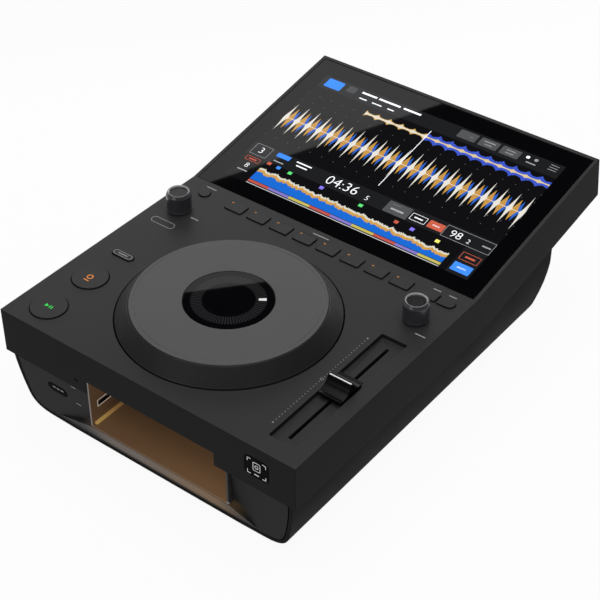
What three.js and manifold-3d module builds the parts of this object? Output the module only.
// A tabletop media player: a folded slab with a jog wheel and a tilted screen, over a tapered case.
// Millimetres, +Z up. The object's front faces -Y and it stands on its feet at z = 0.
// Sizes below are given from the deck: x from the middle, y back from the front face, z up from the deck.
import * as THREE from "three";
import { mergeVertices } from "three/addons/utils/BufferGeometryUtils.js";
import { ConvexGeometry } from "three/addons/geometries/ConvexGeometry.js";
import Module from "manifold-3d";

const wasm = await Module();
wasm.setup();

// The slab
const width = 250;
const screenLength = 166.2;
const screenTilt = THREE.MathUtils.degToRad(10.1);
const slabHeight = 35.4;
const skin = 2.5;
const plateThickness = 2;

// Clearances and the overrun of every cut
const fit = 0.3;
const buttonGap = 0.45;
const over = 1;

// Facets of the round pieces
const fineSides = 96;
const roundSides = 40;
const smallSides = 20;
const cornerSteps = 4;

// The rows of controls on the deck, from the back of the jog wheel
const rowRoom = 19.7;
const knobRow = 26.2;
const knobRoom = 26.1;
const troughFront = 14.2;
const troughEnd = 8;
const foldRoom = 13.4;

// The lower case
const lower = {
  inset: 4.25, height: 50.3, wall: 2.8, seam: 0.7,
  bow: 0.75, kneeLean: 5.4, kneeShare: 0.688, cornerWide: 20.3, crown: 0.7, crownWide: 20,
  frontSetback: 2.35, frontLean: 5.05,
  rearRoom: 56.5, rearDrop: 22, rearLean: 7.8, rearBow: 2.3, rearKneeShare: 0.7276, rearCornerWide: 20,
};
const cornerStartShares = [0.1, 0.57];
const cornerEndShares = [0.285, 0.97];
const rearStartShares = [0.1, 0.51];
const rearEndShares = [0.3, 0.96];
const rearBowShare = 0.47;

// The front panel and the pocket in it
const panelThickness = 2.2;
const pocket = {
  leftRoom: 77.8, rightRoom: 55.6, top: 24.9, floorRoom: 23, depth: 50, wall: 1.6, reveal: 0.3, step: 9.4,
};
const lip = { leftRoom: 36.5, rightRoom: 35.5, rise: 5.2, root: 1.75 };
const light = { width: 2, height: 1.6, front: 2.5, behind: 5.5 };
const port = {
  y: 13, rise: 15.4, width: 13.1, height: 5.7, length: 14, shell: 0.6, proud: 0.2,
  tongueWidth: 10.4, tongueHeight: 1.6, tongueBack: 1.5, cavity: 12,
};
const eject = {
  room: 43, heightShare: 0.324, width: 18, height: 7.8, recess: 0.3, flange: 1, flangeThickness: 1.4,
  flangeSetback: 3, length: 12, stem: 2.4, travel: 1,
};
const touch = { room: 30.2, z: 17.9, width: 18.6, height: 16.5, corner: 4, thickness: 1.4, recess: 0.2 };
const indicator = { beside: 11, z: 28.1, radius: 1.2, lensFlange: 0.9, flangeThickness: 0.8 };

// The screen
const bezel = { side: 3, front: 0.7, rear: 3.2, ledge: 4.2, ledgeThickness: 2, root: 4, rootDrop: 1 };
const glass = { thickness: 2, recess: 0.4 };
const panelSize = { side: 12, rear: 13.2, thickness: 4, front: 10 };
const frameSize = { margin: 4, thickness: 1.5, leg: 8 };

// The jog wheel
const sideStrip = 47.6;
const jog = { front: 12.6, gap: 0.8, rise: 11.8, taper: 10, skirt: 3, rim: 0.4 };
const platter = { web: 2.5, webThickness: 4.3, lip: 4.5, shoulder: 2.6, ledge: 1.9 };
const topPlate = { groove: 3.1, grooveWidth: 0.6, grooveDepth: 0.4, boreShare: 0.4685 };
const windowGap = 0.35;
const windowDip = 0.3;
const hub = { outerShare: 0.36, innerShare: 0.27, flangeShare: 0.51, flangeThickness: 2, bottom: 16 };
const bearing = { outerShare: 0.48, height: 9, top: 5 };
const jogBase = {
  inset: 11.4, top: 20.4, thickness: 2, socketWall: 4, postShare: 0.225, legRadius: 5, legInset: 6,
};
const jogLegAngles = [-25, 35, 145, 205].map(THREE.MathUtils.degToRad);
const jogScreen = { margin: 1.3, thickness: 3.4 };

// Controls on the deck
const button = { rise: 0.8, flange: 1.2, flangeThickness: 1.4, stem: 3.2, travel: 1.2 };
const board = { drop: 16.2, thickness: 1.6, front: 6, rear: 1.5, edge: 5, columnWidth: 36, lugFront: 11.4 };
const boardPost = 2.2;
const postShares = [
  [-0.988, 0.02], [-0.988, 0.54], [-0.983, 0.983], [-0.721, 0.983], [0, 0.983], [0.721, 0.983], [0.983, 0.983],
];
const playSize = { room: 24.5, y: 21.5, radius: 13.25, apart: 40.3 };
const shiftSize = { room: 25.2, behind: 32.5, width: 19, depth: 7 };
const smallSize = { room: 21.6, radius: 4.6 };
const pad = { count: 8, edge: 43.85, gap: 4.9, depth: 11, corner: 1.4 };
const pairSize = { room: 21.8, width: 25.8, depth: 8.4, rib: 1 };
const knob = {
  radius: 9.3, height: 15.2, lift: 0.8, chamfer: 1.4, chamferDrop: 2.3, rim: 0.7, dish: 1.4, dishTaper: 0.6,
  shaft: 3, boreTop: 9.5, push: 0.5,
};
const knobSides = { left: 19.8, right: 22.8 };
const encoder = { size: 12, boreDepth: 6.5 };

// The fader
const troughSize = { room: 21.4, width: 20, depth: 3.4, corner: 1 };
const stem = { width: 1.4, length: 4.6, top: 2.2, bottom: 13, running: 0.4 };
const faderBody = { width: 12, height: 10, end: 11.7, floor: 1.8, mouth: 3 };
const cap = {
  width: 18.5, overhang: 2.2, lift: 0.7, ridge: 8, ridgeWidth: 3.4, lipThickness: 1.2, lipWidth: 2.4,
  saddle: 1.2,
};

// Inside the case
const boss = { radius: 3.6, height: 4, edge: 8, behind: 24 };
const mainBoardSize = { leftRoom: 25, rightRoom: 55, front: 15, thickness: 1.6 };
const ejectSwitch = { width: 8, depth: 5 };
const chip = { size: 42, height: 9 };
const supply = { rightRoom: 53, rearRoom: 37.8, width: 84, ahead: 12, depth: 84, height: 30 };
const screw = { head: 2.8, headHeight: 1.5, shank: 1.4, length: 7.6 };
const foot = { room: 43, front: 26, rear: 51.8, radius: 9, height: 3, chamfer: 0.8, plug: 3 };

// The rear
const rearPanel = { edge: 25, drop: 3.5, height: 16, thickness: 2 };
const inlet = { width: 24, height: 12.6, depth: 17, wall: 2.2, cavity: 12 };
const network = { width: 16, height: 12.6, depth: 15, wall: 1.6, cavity: 11 };
const jacks = { width: 30, height: 12.6, depth: 14, barrel: 4.1, reach: 8.5, bore: 1.6, boreDepth: 7 };
const power = { width: 13, height: 9, reach: 2.6, flange: 1, flangeThickness: 1.4, length: 12 };

// What follows from the sizes above
const half = width / 2;
const tanTilt = Math.tan(screenTilt);
const cosTilt = Math.cos(screenTilt);
const sinTilt = Math.sin(screenTilt);
const mitre = Math.tan(screenTilt / 2);
const jogHole = half - sideStrip;
const jogY = jog.front + jogHole;
const rowY = jogY + jogHole + rowRoom;
const knobY = rowY - knobRow;
const troughLength = knobY - knobRoom - troughFront;
const faderTravel = troughLength - stem.length - troughEnd * 2;
const deckDepth = rowY + foldRoom;
const depth = deckDepth + screenLength * cosTilt + slabHeight * sinTilt;
const caseBottom = -(slabHeight + lower.height);
const deckTop = -caseBottom + fit + foot.height;
const lowerRear = depth - lower.rearRoom;
const kneeDrop = lower.height * lower.kneeShare;
const rearTop = (lowerRear - deckDepth) * tanTilt - slabHeight / cosTilt - fit;
const rearKnee = slabHeight + lower.height * lower.rearKneeShare;
const caseHalf = half - lower.inset;
const floorTop = caseBottom + lower.wall;
const pocketLeft = pocket.leftRoom - half;
const pocketRight = half - pocket.rightRoom;
const pocketOuterLeft = pocketLeft - pocket.wall;
const pocketOuterRight = pocketRight + pocket.wall;
const pocketFloor = -caseBottom - pocket.floorRoom;
const pocketBottom = -(pocketFloor + pocket.wall);
const portZ = port.rise - pocketFloor;
const ejectZ = -(slabHeight + lower.height * eject.heightShare);
const lipZ = caseBottom + lip.rise;
const frontSlope = lower.frontLean / lower.height;
const supplyFront = lowerRear - supply.rearRoom - supply.depth;
const mainBoard = {
  left: mainBoardSize.leftRoom - half, right: half - mainBoardSize.rightRoom,
  front: mainBoardSize.front, back: supplyFront - supply.ahead, thickness: mainBoardSize.thickness,
};
const jogTopRadius = jogHole - jog.gap - jog.taper;
const webTop = jog.rise - platter.web;
const windowBore = jogTopRadius * topPlate.boreShare;
const hubOuter = jogTopRadius * hub.outerShare;
const hubInner = jogTopRadius * hub.innerShare;
const bearingOuter = jogTopRadius * bearing.outerShare;
const webBore = windowBore - platter.ledge;
const webShoulder = jogTopRadius - platter.shoulder;
const jogBaseRadius = jogHole - jogBase.inset;
const jogLegRing = jogBaseRadius - jogBase.legInset;
const play = { x: playSize.room - half, y: playSize.y, radius: playSize.radius };
const cue = { x: play.x, y: play.y + playSize.apart, radius: playSize.radius };
const shift = {
  x: shiftSize.room - half, y: cue.y + shiftSize.behind, width: shiftSize.width, depth: shiftSize.depth,
};
const smallRound = { x: smallSize.room - half, y: rowY, radius: smallSize.radius };
const pair = {
  x: half - pairSize.room, y: rowY, width: pairSize.width, depth: pairSize.depth, rib: pairSize.rib,
};
const padPitch = (width - pad.edge * 2 + pad.gap) / pad.count;
const padWidth = padPitch - pad.gap;
const leftKnob = { x: knobSides.left - half, y: knobY };
const rightKnob = { x: half - knobSides.right, y: knobY };
const trough = {
  x: half - troughSize.room, y: troughFront + troughLength / 2, width: troughSize.width, length: troughLength,
  depth: troughSize.depth, corner: troughSize.corner,
};
const boardSide = half - board.edge;
const boardBack = deckDepth - board.rear;
const ejectX = eject.room - half;
const touchX = half - touch.room;
const indicatorX = pocketLeft - indicator.beside;
const lipLeft = lip.leftRoom - half;
const lipRight = half - lip.rightRoom;
const footX = half - foot.room;
const rearSide = half - rearPanel.edge;
const rearPanelTop = rearTop - rearPanel.drop;
const rearPanelBottom = rearPanelTop - rearPanel.height;
const connectorCentre = (rearPanelTop + rearPanelBottom) / 2;
const connectorRow = [power, jacks, network, inlet];
const connectorWidths = connectorRow.reduce((sum, each) => sum + each.width, 0);
const connectorGap = (rearSide * 2 - connectorWidths) / (connectorRow.length + 1);
const bossPlaces = [mainBoard.front + boss.behind, mainBoard.back - boss.behind].flatMap(
  (y) => [[mainBoard.left + boss.edge, y], [mainBoard.right - boss.edge, y]]);

const group = new THREE.Group();
const deck = new THREE.Group();
deck.position.set(0, -depth / 2, deckTop);
group.add(deck);

function paint(color, roughness, metalness) {
  return () => new THREE.MeshStandardMaterial({ color, roughness, metalness });
}
const deckPaint = paint(0x3a3a3a, 0.5, 0);
const casePaint = paint(0x2c2c2c, 0.6, 0);
const panelPaint = paint(0x2e2e2e, 0.55, 0);
const amberPlastic = paint(0x8a6030, 0.35, 0);
const lightPlastic = paint(0xd0a040, 0.3, 0);
const blackGlass = paint(0x08080a, 0.08, 0);
const jogGrey = paint(0x585858, 0.45, 0.2);
const jogDark = paint(0x262626, 0.5, 0);
const buttonPlastic = paint(0x3c3c3c, 0.5, 0);
const knobPlastic = paint(0x4a4a52, 0.15, 0);
const faderPlastic = paint(0x161616, 0.3, 0);
const steel = paint(0x9a9a9a, 0.35, 0.9);
const socketBlack = paint(0x111111, 0.5, 0);
const boardGreen = paint(0x1f4a30, 0.6, 0);
const footRubber = paint(0x181818, 0.9, 0);

// A closed mesh as a solid for joining and cutting
function solid(geometry) {
  const bare = geometry.clone();
  bare.deleteAttribute("normal");
  bare.deleteAttribute("uv");
  const merged = mergeVertices(bare);
  const vertProperties = Float32Array.from(merged.attributes.position.array);
  const triVerts = Uint32Array.from(merged.index.array);
  return new wasm.Manifold(new wasm.Mesh({ numProp: 3, vertProperties, triVerts }));
}

// A solid back as a flat-shaded geometry
function surface(body) {
  const mesh = body.getMesh();
  const geometry = new THREE.BufferGeometry();
  const positions = new Float32Array(mesh.numVert * 3);
  for (let i = 0; i < mesh.numVert; i += 1) {
    for (let k = 0; k < 3; k += 1) positions[i * 3 + k] = mesh.vertProperties[i * mesh.numProp + k];
  }
  geometry.setAttribute("position", new THREE.BufferAttribute(positions, 3));
  geometry.setIndex(new THREE.BufferAttribute(Uint32Array.from(mesh.triVerts), 1));
  geometry.computeVertexNormals();
  return geometry;
}

function add(name, body, material, parent = deck) {
  const mesh = new THREE.Mesh(surface(body), material());
  mesh.name = name;
  parent.add(mesh);
  return mesh;
}

// A box between two values on each axis
function block(x0, x1, y0, y1, z0, z1) {
  const geometry = new THREE.BoxGeometry(x1 - x0, y1 - y0, z1 - z0);
  geometry.translate((x0 + x1) / 2, (y0 + y1) / 2, (z0 + z1) / 2);
  return solid(geometry);
}

// An upright round piece
function disc(x, y, z0, z1, radius, sides = roundSides) {
  const geometry = new THREE.CylinderGeometry(radius, radius, z1 - z0, sides);
  geometry.rotateX(Math.PI / 2);
  geometry.translate(x, y, (z0 + z1) / 2);
  return solid(geometry);
}

// A round piece that lies along Y
function rod(x, z, y0, y1, radius, sides = smallSides) {
  const geometry = new THREE.CylinderGeometry(radius, radius, y1 - y0, sides);
  geometry.translate(x, (y0 + y1) / 2, z);
  return solid(geometry);
}

// A turned piece from [radius, height] points, upright at x, y
function turned(points, x, y, sides = roundSides) {
  const profile = points.map(([r, z]) => new THREE.Vector2(r, z));
  const geometry = new THREE.LatheGeometry(profile, sides);
  geometry.rotateX(Math.PI / 2);
  geometry.translate(x, y, 0);
  return solid(geometry);
}

function extruded(shape, length) {
  return new THREE.ExtrudeGeometry(shape, { depth: length, bevelEnabled: false, curveSegments: cornerSteps });
}

function polygon(points) {
  return new THREE.Shape(points.map(([a, b]) => new THREE.Vector2(a, b)));
}

// An outline of [y, z] points carried along X
function alongX(points, x0, x1) {
  const geometry = extruded(polygon(points), x1 - x0);
  const basis = new THREE.Matrix4().makeBasis(
    new THREE.Vector3(0, 1, 0), new THREE.Vector3(0, 0, 1), new THREE.Vector3(1, 0, 0));
  geometry.applyMatrix4(basis);
  geometry.translate(x0, 0, 0);
  return solid(geometry);
}

// A shape or an outline of [x, z] points carried along Y
function alongY(outline, y0, y1) {
  const shape = Array.isArray(outline) ? polygon(outline) : outline;
  const geometry = extruded(shape, y1 - y0);
  geometry.rotateX(Math.PI / 2);
  geometry.translate(0, y1, 0);
  return solid(geometry);
}

// A rectangle with round corners about the middle
function roundedShape(w, d, r, x = 0, y = 0) {
  const shape = new THREE.Shape();
  const a = w / 2 - r;
  const b = d / 2 - r;
  shape.absarc(x + a, y + b, r, 0, Math.PI / 2, false);
  shape.absarc(x - a, y + b, r, Math.PI / 2, Math.PI, false);
  shape.absarc(x - a, y - b, r, Math.PI, Math.PI * 1.5, false);
  shape.absarc(x + a, y - b, r, Math.PI * 1.5, Math.PI * 2, false);
  return shape;
}

// An upright piece with the plan of a shape
function upright(shape, z0, z1) {
  const geometry = extruded(shape, z1 - z0);
  geometry.translate(0, 0, z0);
  return solid(geometry);
}

// The tilted screen's own frame: x, the way up the slope from the fold, and the height over its face
function tilted(body) {
  const turn = new THREE.Matrix4().makeRotationX(screenTilt);
  turn.setPosition(0, deckDepth, 0);
  return body.transform(turn.toArray());
}

// The slab's side outline, drawn in from its outer faces: a is the drop below the top, b the end inset
function slabOutline(top, bottom, ends) {
  const rearX = deckDepth + screenLength * cosTilt;
  const rearZ = screenLength * sinTilt;
  const at = (drop, end) => [rearX - end * cosTilt + drop * sinTilt, rearZ - end * sinTilt - drop * cosTilt];
  return [
    [ends, -bottom], [ends, -top], [deckDepth + top * mitre, -top], at(top, ends), at(bottom, ends),
    [deckDepth + bottom * mitre, -bottom],
  ];
}

// Moves each corner of a closed outline inwards by one distance
function inset(points, distance) {
  const count = points.length;
  let area = 0;
  for (let i = 0; i < count; i += 1) {
    const [ax, ay] = points[i];
    const [bx, by] = points[(i + 1) % count];
    area += ax * by - bx * ay;
  }
  const side = Math.sign(area);
  return points.map((p, i) => {
    const before = points[(i + count - 1) % count];
    const after = points[(i + 1) % count];
    const d1 = new THREE.Vector2(p[0] - before[0], p[1] - before[1]).normalize();
    const d2 = new THREE.Vector2(after[0] - p[0], after[1] - p[1]).normalize();
    const n = new THREE.Vector2(-(d1.y + d2.y), d1.x + d2.x).multiplyScalar(side).normalize();
    const cut = n.x * -d1.y * side + n.y * d1.x * side;
    return [p[0] + n.x * distance / cut, p[1] + n.y * distance / cut];
  });
}

function cubic(start, c1, c2, end, steps) {
  const curve = new THREE.CubicBezierCurve(
    new THREE.Vector2(...start), new THREE.Vector2(...c1), new THREE.Vector2(...c2), new THREE.Vector2(...end));
  return curve.getPoints(steps).map((p) => [p.x, p.y]);
}

function quadratic(start, c, end, steps) {
  const curve = new THREE.QuadraticBezierCurve(
    new THREE.Vector2(...start), new THREE.Vector2(...c), new THREE.Vector2(...end));
  return curve.getPoints(steps).map((p) => [p.x, p.y]);
}

// The case seen from the front: leaning sides, round lower corners, a slightly crowned floor
function caseFront() {
  const kneeX = caseHalf - lower.kneeLean;
  const kneeZ = -(slabHeight + kneeDrop);
  const cornerTall = lower.height - kneeDrop - lower.crown;
  const side = quadratic(
    [caseHalf, -slabHeight], [caseHalf - lower.bow, -(slabHeight + kneeDrop / 2)], [kneeX, kneeZ],
    cornerSteps);
  const corner = cubic(
    [kneeX, kneeZ],
    [kneeX - cornerStartShares[0] * lower.cornerWide, kneeZ - cornerStartShares[1] * cornerTall],
    [kneeX - cornerEndShares[0] * lower.cornerWide, kneeZ - cornerEndShares[1] * cornerTall],
    [kneeX - lower.cornerWide, kneeZ - cornerTall], cornerSteps * 2);
  const crownX = kneeX - lower.cornerWide - lower.crownWide;
  const right = [[caseHalf, 0], ...side, ...corner.slice(1), [crownX, caseBottom]];
  const left = right.map(([x, z]) => [-x, z]).reverse();
  return [...right, ...left];
}

// The case seen from the side: it leans in at the front and rounds in at the rear
function caseSide() {
  const wallTop = rearTop - lower.rearDrop;
  const foldY = deckDepth + slabHeight * mitre;
  const kneeY = lowerRear - lower.rearLean;
  const cornerTall = -caseBottom - rearKnee;
  const wall = quadratic(
    [lowerRear, wallTop],
    [lowerRear - lower.rearBow, wallTop - (rearKnee + wallTop) * rearBowShare],
    [kneeY, -rearKnee], cornerSteps);
  const corner = cubic(
    [kneeY, -rearKnee],
    [kneeY - rearStartShares[0] * lower.rearCornerWide, -rearKnee - rearStartShares[1] * cornerTall],
    [kneeY - rearEndShares[0] * lower.rearCornerWide, -rearKnee - rearEndShares[1] * cornerTall],
    [kneeY - lower.rearCornerWide, caseBottom], cornerSteps * 2);
  return [
    [lower.frontSetback, -slabHeight - fit], [foldY, -slabHeight - fit], [lowerRear, rearTop], ...wall,
    ...corner.slice(1), [lower.frontSetback + lower.frontLean, caseBottom],
  ];
}

// The y of the leaning front at a height
function frontAt(z) {
  return lower.frontSetback + (-slabHeight - z) * frontSlope;
}

// The top cover
function padPlace(index) {
  return (index - (pad.count - 1) / 2) * padPitch;
}

// One half of the split pill: side is -1 for the left half and 1 for the right
function halfPill(side, grow) {
  const radius = pair.depth / 2 + grow;
  const end = pair.width / 2 - pair.depth / 2;
  const split = pair.rib / 2 + buttonGap - grow;
  const shape = new THREE.Shape();
  if (side > 0) {
    shape.moveTo(pair.x + split, pair.y - radius);
    shape.lineTo(pair.x + end, pair.y - radius);
    shape.absarc(pair.x + end, pair.y, radius, -Math.PI / 2, Math.PI / 2, false);
    shape.lineTo(pair.x + split, pair.y + radius);
  } else {
    shape.moveTo(pair.x - split, pair.y + radius);
    shape.lineTo(pair.x - end, pair.y + radius);
    shape.absarc(pair.x - end, pair.y, radius, Math.PI / 2, Math.PI * 1.5, false);
    shape.lineTo(pair.x - split, pair.y - radius);
  }
  shape.closePath();
  return shape;
}

function coverHoles() {
  const z0 = -(skin + over);
  const holes = [
    disc(0, jogY, z0, over, jogHole, fineSides),
    disc(play.x, play.y, z0, over, play.radius),
    disc(cue.x, cue.y, z0, over, cue.radius),
    disc(smallRound.x, smallRound.y, z0, over, smallRound.radius, smallSides),
    upright(roundedShape(shift.width, shift.depth, shift.depth / 2, shift.x, shift.y), z0, over),
    upright(halfPill(-1, buttonGap), z0, over),
    upright(halfPill(1, buttonGap), z0, over),
    disc(leftKnob.x, leftKnob.y, z0, over, knob.shaft + buttonGap, smallSides),
    disc(rightKnob.x, rightKnob.y, z0, over, knob.shaft + buttonGap, smallSides),
  ];
  for (let i = 0; i < pad.count; i += 1) {
    holes.push(upright(roundedShape(padWidth, pad.depth, pad.corner, padPlace(i), rowY), z0, over));
  }
  return holes;
}

function screenCuts() {
  const top = glass.recess + glass.thickness + fit;
  const seat = [half - bezel.side, bezel.front, screenLength - bezel.rear];
  const mouth = block(-seat[0], seat[0], seat[1], seat[2], -top, over);
  return tilted(mouth);
}

// The ledge inside the slab that carries the glass
function screenLedge() {
  const top = glass.recess + glass.thickness + fit;
  const bottom = top + bezel.ledgeThickness;
  const wide = half - skin / 2;
  const inner = half - bezel.side - bezel.ledge;
  const front = bezel.front + bezel.ledge;
  const rear = screenLength - bezel.rear - bezel.ledge;
  const ring = block(-wide, wide, -bezel.root, screenLength - skin / 2, -bottom, -top)
    .subtract(block(-inner, inner, front, rear, -bottom - over, -top + over));
  const root = block(-wide, wide, -bezel.root, bezel.front - fit, -bottom, -bezel.rootDrop);
  return tilted(ring.add(root));
}

function troughBlock() {
  const w = trough.width + skin * 2;
  const l = trough.length + skin * 2;
  const plan = roundedShape(w, l, trough.corner + skin, trough.x, trough.y);
  return upright(plan, -(trough.depth + skin), -skin / 2);
}

function troughCuts() {
  const plan = roundedShape(trough.width, trough.length, trough.corner, trough.x, trough.y);
  const hollow = upright(plan, -trough.depth, over);
  const slotHalf = (faderTravel + stem.length) / 2 + stem.running;
  const slotWide = stem.width / 2 + stem.running;
  const slot = block(
    trough.x - slotWide, trough.x + slotWide, trough.y - slotHalf, trough.y + slotHalf,
    -(trough.depth + skin + over), over);
  return hollow.add(slot);
}

function topCover() {
  const shell = alongX(slabOutline(0, slabHeight, 0), -half, half);
  const room = alongX(slabOutline(skin, slabHeight + over, skin), -half + skin, half - skin);
  let body = shell.subtract(room).add(screenLedge()).add(troughBlock());
  for (const [across, back] of postShares) {
    const y = board.front + back * (boardBack - board.front);
    body = body.add(disc(across * boardSide, y, -(board.drop - fit), -skin / 2, boardPost, smallSides));
  }
  for (const hole of coverHoles()) body = body.subtract(hole);
  body = body.subtract(screenCuts()).subtract(troughCuts());
  const notch = block(
    pocketOuterLeft - fit, pocketRight - pocket.step, -over, skin + over, -slabHeight - over, -pocket.top);
  const seat = alongY(
    roundedShape(touch.width + fit * 2, touch.height + fit * 2, touch.corner, touchX, -touch.z),
    -over, touch.recess + touch.thickness + fit);
  const lens = rod(indicatorX, -indicator.z, -over, skin + over, indicator.radius + fit, smallSides);
  return body.subtract(notch).subtract(seat).subtract(lens);
}

// The chassis plate closes the slab from below
function chassisPlate() {
  const side = half - skin - fit;
  const plate = alongX(slabOutline(slabHeight - plateThickness, slabHeight, skin + fit), -side, side);
  const notch = block(
    pocketOuterLeft - fit, pocketOuterRight + fit, 0, pocket.depth + pocket.wall + fit,
    -slabHeight - over, -slabHeight + plateThickness + over);
  return plate.subtract(notch);
}

// The lower case
function lowerCase() {
  const reach = depth;
  const outer = alongY(caseFront(), 0, reach).intersect(alongX(caseSide(), -half, half));
  const innerSide = inset(caseSide(), lower.wall);
  innerSide[0] = [-over, slabHeight];
  innerSide[1] = [deckDepth, slabHeight];
  innerSide[2] = [lowerRear - lower.wall, slabHeight];
  innerSide[innerSide.length - 1] = [-over, floorTop];
  const innerFront = inset(caseFront(), lower.wall);
  innerFront[0] = [caseHalf - lower.wall, slabHeight];
  innerFront[innerFront.length - 1] = [-(caseHalf - lower.wall), slabHeight];
  const room = alongY(innerFront, -over, reach).intersect(alongX(innerSide, -half, half));
  let body = outer.subtract(room);
  for (const [x, y] of bossPlaces) {
    body = body.add(disc(x, y, floorTop - lower.wall / 2, floorTop + boss.height, boss.radius, smallSides));
  }
  const low = caseBottom - over;
  for (const [x, y] of bossPlaces) {
    const bore = disc(x, y, low, floorTop + boss.height + over, screw.shank + fit, smallSides);
    const seat = disc(x, y, low, caseBottom + screw.headHeight + fit, screw.head + fit, smallSides);
    body = body.subtract(bore).subtract(seat);
  }
  for (const [x, y] of footPlaces()) {
    body = body.subtract(disc(x, y, low, floorTop + over, foot.plug + fit, smallSides));
  }
  const rearMouth = block(
    -rearSide - fit, rearSide + fit, lowerRear - lower.wall - over, lowerRear + over,
    rearPanelBottom - fit, rearPanelTop + fit);
  return body.subtract(rearMouth);
}

function footPlaces() {
  const back = lowerRear - foot.rear;
  return [[-footX, foot.front], [footX, foot.front], [-footX, back], [footX, back]];
}

// The front panel with its lip and openings
function frontPanel() {
  const outline = inset(caseFront(), lower.wall + lower.seam);
  const full = alongY(outline, 0, depth);
  const top = -slabHeight - fit;
  const lean = [
    [frontAt(top), top], [frontAt(top) + panelThickness, top],
    [frontAt(caseBottom) + panelThickness, caseBottom], [frontAt(caseBottom), caseBottom],
  ];
  let body = full.intersect(alongX(lean, -half, half));
  const lipTop = pocketBottom - fit;
  const topRoot = frontAt(lipTop) + lip.root;
  const lowFront = frontAt(lipZ);
  const corners = [
    [pocketOuterLeft, pocket.reveal, lipTop], [pocketOuterRight, pocket.reveal, lipTop],
    [pocketOuterLeft, topRoot, lipTop], [pocketOuterRight, topRoot, lipTop],
    [lipLeft, lowFront, lipZ], [lipRight, lowFront, lipZ],
    [lipLeft, lowFront + lip.root, lipZ], [lipRight, lowFront + lip.root, lipZ],
  ];
  body = body.add(solid(new ConvexGeometry(corners.map((p) => new THREE.Vector3(...p)))));
  const mouth = block(
    pocketOuterLeft - fit, pocketOuterRight + fit, -over, pocket.depth, lipTop, over);
  const slotPlan = roundedShape(eject.width, eject.height, eject.height / 2, ejectX, ejectZ);
  const slot = alongY(slotPlan, -over, pocket.depth);
  return body.subtract(mouth).subtract(slot);
}

// The amber tray in the pocket
function pocketTray() {
  const front = pocket.reveal;
  const inner = skin + fit;
  const back = pocket.depth + pocket.wall;
  const roofTop = -pocket.top + pocket.wall;
  const wallTop = -slabHeight - fit;
  const whole = block(pocketOuterLeft, pocketOuterRight, inner, back, pocketBottom, roofTop)
    .subtract(block(pocketLeft, pocketRight, -over, pocket.depth, -pocketFloor, -pocket.top));
  const floor = block(pocketOuterLeft, pocketOuterRight, front, inner + over, pocketBottom, -pocketFloor);
  const leftWall = block(pocketOuterLeft, pocketLeft, front, inner + over, pocketBottom, -pocket.top - fit);
  const rightWall = block(pocketRight, pocketOuterRight, front, inner + over, pocketBottom, wallTop);
  const hole = block(
    pocketOuterLeft - over, pocketLeft + over, port.y - port.width / 2 - fit, port.y + port.width / 2 + fit,
    portZ - port.height / 2 - fit, portZ + port.height / 2 + fit);
  return whole.add(floor).add(leftWall).add(rightWall).subtract(hole);
}

function usbPort() {
  const mouthX = pocketLeft + port.proud;
  const backX = mouthX - port.length;
  const at = (w, h, x0, x1) => block(x0, x1, port.y - w / 2, port.y + w / 2, portZ - h / 2, portZ + h / 2);
  const wide = port.width - port.shell * 2;
  const high = port.height - port.shell * 2;
  const room = at(wide, high, mouthX - port.cavity, mouthX + over);
  const tongue = at(port.tongueWidth, port.tongueHeight, backX + over, mouthX - port.tongueBack);
  return at(port.width, port.height, backX, mouthX).subtract(room).add(tongue);
}

function pocketLight() {
  return block(
    pocketLeft + fit, pocketLeft + fit + light.width, light.front, pocket.depth - light.behind,
    -pocketFloor + fit, -pocketFloor + fit + light.height);
}

function touchPad() {
  return alongY(
    roundedShape(touch.width, touch.height, touch.corner - fit, touchX, -touch.z),
    touch.recess, touch.recess + touch.thickness);
}

function indicatorLens() {
  const wallBack = skin + fit;
  const back = wallBack + indicator.flangeThickness;
  const flangeRadius = indicator.radius + indicator.lensFlange;
  return rod(indicatorX, -indicator.z, fit, back, indicator.radius, smallSides)
    .add(rod(indicatorX, -indicator.z, wallBack, back, flangeRadius, smallSides));
}

// A button that slides along Y: a rounded face, a flange behind the wall and a short stem
function sideButton(x, z, w, h, r, face, wallBack, length, flange, flangeThickness, stemRadius) {
  const back = wallBack + flangeThickness;
  const front = alongY(roundedShape(w, h, r, x, z), face, back);
  const plate = alongY(roundedShape(w + flange * 2, h + flange * 2, r, x, z), wallBack, back);
  return front.add(plate).add(rod(x, z, wallBack, face + length, stemRadius, smallSides));
}

function ejectButton() {
  const face = frontAt(ejectZ) + eject.recess;
  const w = eject.width - buttonGap * 2;
  const h = eject.height - buttonGap * 2;
  return sideButton(
    ejectX, ejectZ, w, h, h / 2, face, frontAt(ejectZ) + eject.flangeSetback, eject.length, eject.flange,
    eject.flangeThickness, eject.stem);
}

// The screen
function screenGlass() {
  const x = half - bezel.side - fit;
  const bottom = -(glass.recess + glass.thickness);
  return tilted(block(-x, x, bezel.front + fit, screenLength - bezel.rear - fit, bottom, -glass.recess));
}

function displayTop() {
  return glass.recess + glass.thickness + fit;
}

function displayPanel() {
  const x = half - panelSize.side;
  return tilted(block(
    -x, x, panelSize.front, screenLength - panelSize.rear,
    -(displayTop() + panelSize.thickness), -displayTop()));
}

function displayFrame() {
  const top = displayTop() + panelSize.thickness + fit;
  const x = half - panelSize.side + frameSize.margin;
  const y0 = panelSize.front - frameSize.margin;
  const y1 = screenLength - panelSize.rear + frameSize.margin;
  const legBottom = slabHeight - plateThickness - fit;
  let frame = block(-x, x, y0, y1, -(top + frameSize.thickness), -top);
  for (const side of [-1, 1]) {
    for (const end of [y0, y1 - frameSize.leg]) {
      const x0 = side > 0 ? x - frameSize.leg : -x;
      frame = frame.add(block(x0, x0 + frameSize.leg, end, end + frameSize.leg, -legBottom, -top));
    }
  }
  return tilted(frame);
}

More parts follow.
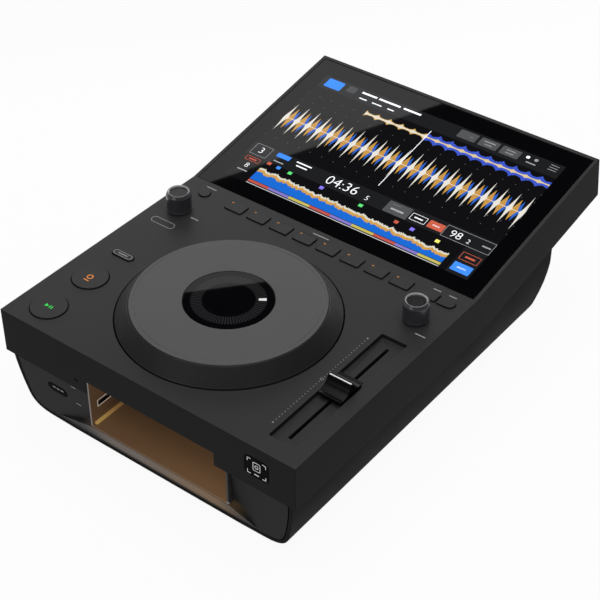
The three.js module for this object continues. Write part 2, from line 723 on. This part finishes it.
// The jog wheel, all round the jog's centre
function jogRing() {
  const outer = jogHole - jog.gap;
  const seat = webTop;
  const rimTop = jog.rise - jog.rim;
  return turned([
    [webBore, seat - platter.webThickness], [webShoulder, seat - platter.webThickness],
    [outer - platter.lip, -jog.skirt], [outer, -jog.skirt], [outer, jog.rim],
    [jogTopRadius + fit + jog.rim, rimTop], [jogTopRadius + fit, rimTop], [jogTopRadius + fit, seat],
    [webBore, seat], [webBore, seat - platter.webThickness],
  ], 0, jogY, fineSides);
}

function jogTopPlate() {
  const bottom = webTop + fit;
  const g = jogTopRadius - topPlate.groove;
  const w = topPlate.grooveWidth / 2;
  return turned([
    [windowBore, bottom], [jogTopRadius, bottom], [jogTopRadius, jog.rise], [g + w, jog.rise],
    [g, jog.rise - topPlate.grooveDepth], [g - w, jog.rise], [windowBore, jog.rise], [windowBore, bottom],
  ], 0, jogY, fineSides);
}

function jogWindow() {
  return disc(0, jogY, webTop + fit, jog.rise - windowDip, windowBore - windowGap, fineSides);
}

function jogHub() {
  const top = webTop - platter.webThickness - fit;
  const flange = jogTopRadius * hub.flangeShare;
  return turned([
    [hubInner, -hub.bottom], [hubOuter, -hub.bottom], [hubOuter, top - hub.flangeThickness],
    [flange, top - hub.flangeThickness], [flange, top], [hubInner, top], [hubInner, -hub.bottom],
  ], 0, jogY, roundSides);
}

function jogBearing() {
  const z1 = -bearing.top;
  const z0 = z1 - bearing.height;
  return turned([
    [hubOuter + fit, z0], [bearingOuter, z0], [bearingOuter, z1], [hubOuter + fit, z1], [hubOuter + fit, z0],
  ], 0, jogY, roundSides);
}

function jogBaseBody() {
  const plateTop = -jogBase.top;
  const plateBottom = plateTop - jogBase.thickness;
  const bearingBottom = -bearing.top - bearing.height;
  const postTop = webTop - platter.webThickness;
  const socket = bearingOuter + jogBase.socketWall;
  const post = jogTopRadius * jogBase.postShare;
  let body = turned([
    [0, plateBottom], [jogBaseRadius, plateBottom], [jogBaseRadius, plateTop], [socket, plateTop],
    [socket, -bearing.top], [bearingOuter + fit, -bearing.top], [bearingOuter + fit, bearingBottom - fit],
    [hubOuter + over, bearingBottom - fit], [hubOuter + over, plateTop], [post, plateTop],
    [post, postTop], [0, postTop],
  ], 0, jogY, roundSides);
  for (const angle of jogLegAngles) {
    const x = jogLegRing * Math.cos(angle);
    const y = jogY + jogLegRing * Math.sin(angle);
    body = body.add(disc(x, y, -slabHeight + plateThickness + fit, plateTop - jogBase.thickness / 2,
      jogBase.legRadius, smallSides));
  }
  return body;
}

function jogDisplay() {
  const bottom = webTop - platter.webThickness + fit;
  return disc(0, jogY, bottom, bottom + jogScreen.thickness, webBore - jogScreen.margin, roundSides);
}

// A button that slides down through the deck, from its plan at a given growth
function deckButton(plan, stemX, stemY) {
  const flangeTop = -(skin + fit);
  const flangeBottom = flangeTop - button.flangeThickness;
  const stemBottom = -(board.drop - fit - button.travel);
  return upright(plan(-buttonGap), flangeBottom, button.rise)
    .add(upright(plan(-buttonGap + button.flange), flangeBottom, flangeTop))
    .add(disc(stemX, stemY, stemBottom, flangeBottom + over / 2, button.stem, smallSides));
}

function circleButton(place) {
  const flangeTop = -(skin + fit);
  const flangeBottom = flangeTop - button.flangeThickness;
  const stemBottom = -(board.drop - fit - button.travel);
  const radius = place.radius - buttonGap;
  return disc(place.x, place.y, flangeBottom, button.rise, radius)
    .add(disc(place.x, place.y, flangeBottom, flangeTop, radius + button.flange))
    .add(disc(place.x, place.y, stemBottom, flangeBottom + over / 2, button.stem, smallSides));
}

function padButton(index) {
  const x = padPlace(index);
  const plan = (grow) => roundedShape(padWidth + grow * 2, pad.depth + grow * 2, pad.corner, x, rowY);
  return deckButton(plan, x, rowY);
}

function shiftButton() {
  const plan = (grow) => roundedShape(
    shift.width + grow * 2, shift.depth + grow * 2, shift.depth / 2 + grow, shift.x, shift.y);
  return deckButton(plan, shift.x, shift.y);
}

function pairButton(side) {
  const flangeTop = -(skin + fit);
  const flangeBottom = flangeTop - button.flangeThickness;
  const stemBottom = -(board.drop - fit - button.travel);
  const x = pair.x + side * pair.width / 4;
  const ear = pair.depth / 2 + button.flange;
  const plate = block(
    side > 0 ? pair.x + pair.rib / 2 + buttonGap : pair.x - pair.width / 2 - button.flange,
    side > 0 ? pair.x + pair.width / 2 + button.flange : pair.x - pair.rib / 2 - buttonGap,
    pair.y - ear, pair.y + ear, flangeBottom, flangeTop);
  return upright(halfPill(side, 0), flangeBottom, button.rise)
    .add(plate)
    .add(disc(x, pair.y, stemBottom, flangeBottom + over / 2, button.stem, smallSides));
}

// The knobs: a clear turned cap on a shaft that can be pushed
function knobCap(place) {
  const top = knob.lift + knob.height;
  const r = knob.radius;
  const rimOuter = r - knob.chamfer;
  return turned([
    [0, top - knob.dish], [rimOuter - knob.rim - knob.dishTaper, top - knob.dish], [rimOuter - knob.rim, top],
    [rimOuter, top], [r, top - knob.chamferDrop], [r, knob.lift], [knob.shaft + fit, knob.lift],
    [knob.shaft + fit, knob.boreTop], [0, knob.boreTop],
  ].reverse(), place.x, place.y);
}

function encoderTop() {
  return -(skin + fit);
}

function knobShaft(place) {
  const bottom = encoderTop() - encoder.boreDepth + knob.push + fit;
  return disc(place.x, place.y, bottom, knob.boreTop - fit, knob.shaft, smallSides);
}

function encoderBody(place) {
  const top = encoderTop();
  const s = encoder.size / 2;
  return block(place.x - s, place.x + s, place.y - s, place.y + s, -board.drop + fit, top)
    .subtract(disc(place.x, place.y, top - encoder.boreDepth, top + over, knob.shaft + fit, smallSides));
}

// The fader: its body under the trough, the stem through the slot and the cap on it
function faderBodySolid() {
  const top = -(trough.depth + skin + fit);
  const w = faderBody.width / 2;
  const l = (faderTravel + stem.length) / 2 + faderBody.end;
  const run = (faderTravel + stem.length) / 2 + stem.running;
  return block(trough.x - w, trough.x + w, trough.y - l, trough.y + l, top - faderBody.height, top)
    .subtract(block(
      trough.x - faderBody.mouth / 2, trough.x + faderBody.mouth / 2, trough.y - run, trough.y + run,
      top - faderBody.height + faderBody.floor, top + over));
}

function faderStem() {
  const w = stem.width / 2;
  const l = stem.length / 2;
  return block(trough.x - w, trough.x + w, trough.y - l, trough.y + l, -stem.bottom, stem.top);
}

function faderCap() {
  const base = -trough.depth + cap.lift;
  const skirt = troughEnd + stem.length / 2 - fit;
  const l = skirt + cap.overhang;
  const r = cap.ridgeWidth / 2;
  const lipTop = fit + cap.lipThickness;
  const slope = quadratic(
    [r, cap.ridge - cap.saddle], [r + cap.saddle, lipTop + cap.saddle / 2],
    [l - cap.lipWidth, lipTop - cap.saddle / 2], cornerSteps);
  const rear = [
    [skirt, base], [skirt, fit], [l, fit], [l, lipTop - cap.saddle / 2], [l - cap.saddle / 2, lipTop],
    ...slope.reverse(), [r, cap.ridge],
  ];
  const outline = [...rear, ...rear.map(([y, z]) => [-y, z]).reverse()];
  const side = cap.width / 2;
  const body = alongX(outline.map(([y, z]) => [y + trough.y, z]), trough.x - side, trough.x + side);
  const w = stem.width / 2 + fit;
  const s = stem.length / 2 + fit;
  return body.subtract(block(
    trough.x - w, trough.x + w, trough.y - s, trough.y + s, base - over, stem.top + fit));
}

// Boards and the power supply
function deckBoard() {
  const z1 = -board.drop;
  const z0 = z1 - board.thickness;
  const column = block(-boardSide, -boardSide + board.columnWidth, board.front, boardBack, z0, z1);
  const strip = block(-boardSide, boardSide, rowY - pad.depth, boardBack, z0, z1);
  const lug = block(boardSide - board.columnWidth, boardSide, knobY - board.lugFront, boardBack, z0, z1);
  return column.add(strip).add(lug);
}

function mainBoardSolid() {
  const z0 = floorTop + boss.height + fit;
  const z1 = z0 + mainBoard.thickness;
  const switchFront = frontAt(ejectZ) + eject.recess + eject.length + eject.travel + fit;
  const plate = block(mainBoard.left, mainBoard.right, mainBoard.front, mainBoard.back, z0, z1);
  const switchHalf = ejectSwitch.width / 2;
  const switchBack = switchFront + ejectSwitch.depth;
  const tower = block(
    ejectX - switchHalf, ejectX + switchHalf, switchFront, switchBack, z0, ejectZ + switchHalf);
  const s = chip.size / 2;
  const chipX = (mainBoard.left + mainBoard.right) / 2;
  const chipY = (mainBoard.front + mainBoard.back) / 2;
  const sink = block(chipX - s, chipX + s, chipY - s, chipY + s, z0, z1 + chip.height);
  let body = plate.add(tower).add(sink);
  for (const [x, y] of bossPlaces) {
    body = body.subtract(disc(x, y, z0 - over, z1 + over, screw.shank + fit, smallSides));
  }
  return body;
}

function powerSupply() {
  const right = half - supply.rightRoom;
  const bottom = floorTop + fit;
  return block(
    right - supply.width, right, supplyFront, supplyFront + supply.depth, bottom, bottom + supply.height);
}

function caseScrew([x, y]) {
  const z0 = caseBottom + fit;
  return disc(x, y, z0, z0 + screw.headHeight, screw.head, smallSides)
    .subtract(disc(x, y, z0 - over, z0 + screw.headHeight / 2, screw.shank / 2, cornerSteps + 2))
    .add(disc(x, y, z0 + screw.headHeight / 2, z0 + screw.length, screw.shank, smallSides));
}

function footBody([x, y]) {
  const top = caseBottom - fit;
  const bottom = top - foot.height;
  return turned([
    [0, bottom], [foot.radius - foot.chamfer, bottom], [foot.radius, bottom + foot.chamfer],
    [foot.radius, top], [foot.plug, top], [foot.plug, floorTop + fit], [0, floorTop + fit],
  ], x, y, roundSides);
}

// Where a connector's middle is, in the evenly spaced row on the rear panel
function connectorX(place) {
  const before = connectorRow.slice(0, connectorRow.indexOf(place));
  return before.reduce((x, each) => x + each.width + connectorGap, connectorGap - rearSide) + place.width / 2;
}

function connectorBlock(place, grow) {
  const x = connectorX(place);
  return [x - place.width / 2 - grow, x + place.width / 2 + grow,
    connectorCentre - place.height / 2 - grow, connectorCentre + place.height / 2 + grow];
}

function rearPlate() {
  const y1 = lowerRear;
  const y0 = y1 - rearPanel.thickness;
  let body = block(-rearSide, rearSide, y0, y1, rearPanelBottom, rearPanelTop);
  for (const place of [inlet, network, jacks]) {
    const [x0, x1, z0, z1] = connectorBlock(place, fit);
    body = body.subtract(block(x0, x1, y0 - over, y1 + over, z0, z1));
  }
  const slot = roundedShape(power.width, power.height, power.height / 2, connectorX(power), connectorCentre);
  return body.subtract(alongY(slot, y0 - over, y1 + over));
}

function socketBody(place) {
  const [x0, x1, z0, z1] = connectorBlock(place, 0);
  const y1 = lowerRear + fit;
  return block(x0, x1, y1 - place.depth, y1, z0, z1).subtract(block(
    x0 + place.wall, x1 - place.wall, y1 - place.cavity, y1 + over, z0 + place.wall, z1 - place.wall));
}

function audioJacks() {
  const [x0, x1, z0, z1] = connectorBlock(jacks, 0);
  const y1 = lowerRear + fit;
  let body = block(x0, x1, y1 - jacks.depth, y1, z0, z1);
  for (const side of [-1, 1]) {
    const x = connectorX(jacks) + side * jacks.width / 4;
    body = body.add(rod(x, connectorCentre, y1 - over, y1 + jacks.reach, jacks.barrel, smallSides));
  }
  for (const side of [-1, 1]) {
    const x = connectorX(jacks) + side * jacks.width / 4;
    const end = y1 + jacks.reach;
    body = body.subtract(rod(x, connectorCentre, end - jacks.boreDepth, end + over, jacks.bore, smallSides));
  }
  return body;
}

function powerButton() {
  const h = power.height - buttonGap * 2;
  const w = power.width - buttonGap * 2;
  const wallBack = lowerRear - rearPanel.thickness - fit;
  const face = lowerRear + power.reach;
  const x = connectorX(power);
  const z = connectorCentre;
  const plateFront = wallBack - power.flangeThickness;
  const front = alongY(roundedShape(w, h, h / 2, x, z), plateFront, face);
  const plate = alongY(
    roundedShape(w + power.flange * 2, h + power.flange * 2, h / 2, x, z), plateFront, wallBack);
  return front.add(plate).add(rod(x, z, face - power.length, wallBack - over / 2, h / 4, smallSides));
}

add("top_cover", topCover(), deckPaint);
add("chassis_plate", chassisPlate(), steel);
add("lower_case", lowerCase(), casePaint);
add("front_panel", frontPanel(), panelPaint);
add("usb_tray", pocketTray(), amberPlastic);
add("usb_port", usbPort(), steel);
add("pocket_light", pocketLight(), lightPlastic);
add("touch_pad", touchPad(), blackGlass);
add("indicator_lens", indicatorLens(), blackGlass);
add("eject_button", ejectButton(), buttonPlastic);

add("screen_glass", screenGlass(), blackGlass);
add("display_panel", displayPanel(), socketBlack);
add("display_frame", displayFrame(), steel);

add("jog_ring", jogRing(), jogDark);
add("jog_top_plate", jogTopPlate(), jogGrey);
add("jog_window", jogWindow(), blackGlass);
add("jog_hub", jogHub(), steel);
add("jog_bearing", jogBearing(), steel);
add("jog_base", jogBaseBody(), socketBlack);
add("jog_display", jogDisplay(), socketBlack);

add("play_button", circleButton(play), buttonPlastic);
add("cue_button", circleButton(cue), buttonPlastic);
add("shift_button", shiftButton(), buttonPlastic);
add("delete_button", circleButton(smallRound), buttonPlastic);
add("pair_button_left", pairButton(-1), buttonPlastic);
add("pair_button_right", pairButton(1), buttonPlastic);
for (let i = 0; i < pad.count; i += 1) add(`pad_${i + 1}`, padButton(i), buttonPlastic);

for (const [side, place] of [["left", leftKnob], ["right", rightKnob]]) {
  add(`${side}_knob`, knobCap(place), knobPlastic);
  add(`${side}_shaft`, knobShaft(place), steel);
  add(`${side}_encoder`, encoderBody(place), socketBlack);
}

add("fader_body", faderBodySolid(), steel);
add("fader_stem", faderStem(), steel);
add("fader_cap", faderCap(), faderPlastic);

add("deck_board", deckBoard(), boardGreen);
add("main_board", mainBoardSolid(), boardGreen);
add("power_supply", powerSupply(), steel);
bossPlaces.forEach((place, i) => add(`case_screw_${i + 1}`, caseScrew(place), steel));
footPlaces().forEach((place, i) => add(`foot_${i + 1}`, footBody(place), footRubber));

add("rear_panel", rearPlate(), casePaint);
add("power_inlet", socketBody(inlet), socketBlack);
add("network_port", socketBody(network), steel);
add("audio_jacks", audioJacks(), socketBlack);
add("power_button", powerButton(), buttonPlastic);

export default group;
